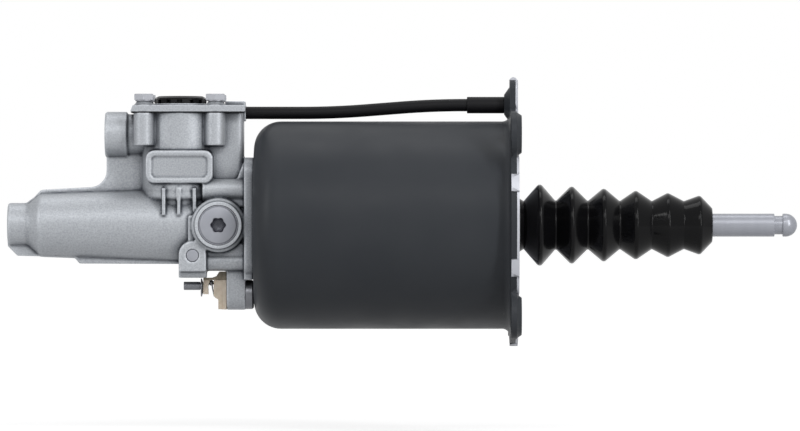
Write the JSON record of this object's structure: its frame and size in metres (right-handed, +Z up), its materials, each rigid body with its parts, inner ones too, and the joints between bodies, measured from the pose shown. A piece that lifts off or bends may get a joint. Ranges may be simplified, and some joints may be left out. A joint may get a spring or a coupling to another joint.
{
  "type": "clutch servo",
  "caption": "Air-assisted clutch servo: cast valve housing, black steel air cylinder with eared flange, folded rubber bellows and push rod.",
  "frame": {"origin": "centre of the four mounting ears in the plane of their front pads, on the push rod's axis", "axes": "+X along the push rod, the way it leaves the cylinder; +Z up, towards the valve tower's cover; the plugged side of the housing looks along -Y"},
  "size_m": [0.426, 0.128, 0.145],
  "materials": {
    "cast_aluminium": "die-cast, blasted",
    "cover_aluminium": "satin",
    "black_paint": "semi-gloss black",
    "zinc_plate": "zinc plated",
    "screw_steel": "zinc plated",
    "plug_steel": "satin",
    "rod_steel": "turned",
    "dark_steel": "turned, dark",
    "bellows_rubber": "smooth, slightly glossy",
    "seal_rubber": "smooth",
    "black_plastic": "fine grain",
    "tube_plastic": "smooth",
    "white_plastic": "smooth",
    "beige_plastic": "smooth"
  },
  "bodies": {
    "housing": {"housing": "cast_aluminium", "cylinder_shell": "black_paint", "front_cover": "zinc_plate", "valve_cover": "cover_aluminium", "valve_gasket": "seal_rubber", "cover_screws": "screw_steel", "cover_washers": "screw_steel", "exhaust_cap": "black_plastic", "air_tube": "tube_plastic", "tube_sleeve": "seal_rubber", "screw_plug": "plug_steel", "plug_seal": "seal_rubber", "gallery_plug": "plug_steel", "bleed_adapter": "dark_steel", "bleed_body": "beige_plastic", "bleed_pin": "rod_steel", "bleed_washer": "screw_steel", "flange_screws": "screw_steel", "flange_washers": "screw_steel", "flange_o_ring": "seal_rubber", "guide_bush": "white_plastic", "gland_seal": "seal_rubber", "gland_ring": "screw_steel", "preload_spring": "rod_steel", "control_spring": "rod_steel", "valve_seat": "cover_aluminium", "seat_o_ring": "seal_rubber", "poppet_spring": "rod_steel", "valve_guide": "black_plastic"},
    "piston": {"air_piston": "cover_aluminium", "piston_seal": "seal_rubber", "piston_guide_ring": "white_plastic", "plunger": "rod_steel", "plunger_seal": "seal_rubber", "seat_clip": "screw_steel"},
    "rod_seat": {"rod_seat": "white_plastic"},
    "push_rod": {"push_rod": "rod_steel", "bellows": "bellows_rubber"},
    "control_piston": {"relay_piston": "rod_steel", "relay_seal": "seal_rubber", "control_piston": "cover_aluminium", "control_o_ring": "seal_rubber"},
    "inlet_valve": {"inlet_poppet": "cover_aluminium", "poppet_rubber": "seal_rubber"}
  },
  "joints": [
    {"name": "rod_slide", "type": "slide", "parent": "housing", "child": "piston", "axis": [1, 0, 0], "range_m": [-0.06, 0], "stiffness_N_per_m": 1000, "springref_m": 0.08, "deforming": ["bellows", "preload_spring"]},
    {"name": "rod_tilt_vertical", "type": "hinge", "parent": "piston", "child": "rod_seat", "pos_m": [-0.036, 0, 0], "axis": [0, 1, 0], "range_deg": [-1.5, 1.5], "stiffness_Nm_per_rad": 30, "springref_deg": -0.37, "deforming": ["bellows"]},
    {"name": "rod_tilt_sideways", "type": "hinge", "parent": "rod_seat", "child": "push_rod", "pos_m": [-0.036, 0, 0], "axis": [0, 0, 1], "range_deg": [-1.5, 1.5], "stiffness_Nm_per_rad": 30, "deforming": ["bellows"]},
    {"name": "control_slide", "type": "slide", "parent": "housing", "child": "control_piston", "axis": [0, 0, 1], "range_m": [0, 0.0015], "stiffness_N_per_m": 2000, "springref_m": -0.005, "deforming": ["control_spring"]},
    {"name": "inlet_lift", "type": "slide", "parent": "housing", "child": "inlet_valve", "axis": [0, 0, 1], "range_m": [0, 0.0015], "stiffness_N_per_m": 1500, "springref_m": -0.006, "deforming": ["poppet_spring"]}
  ]
}
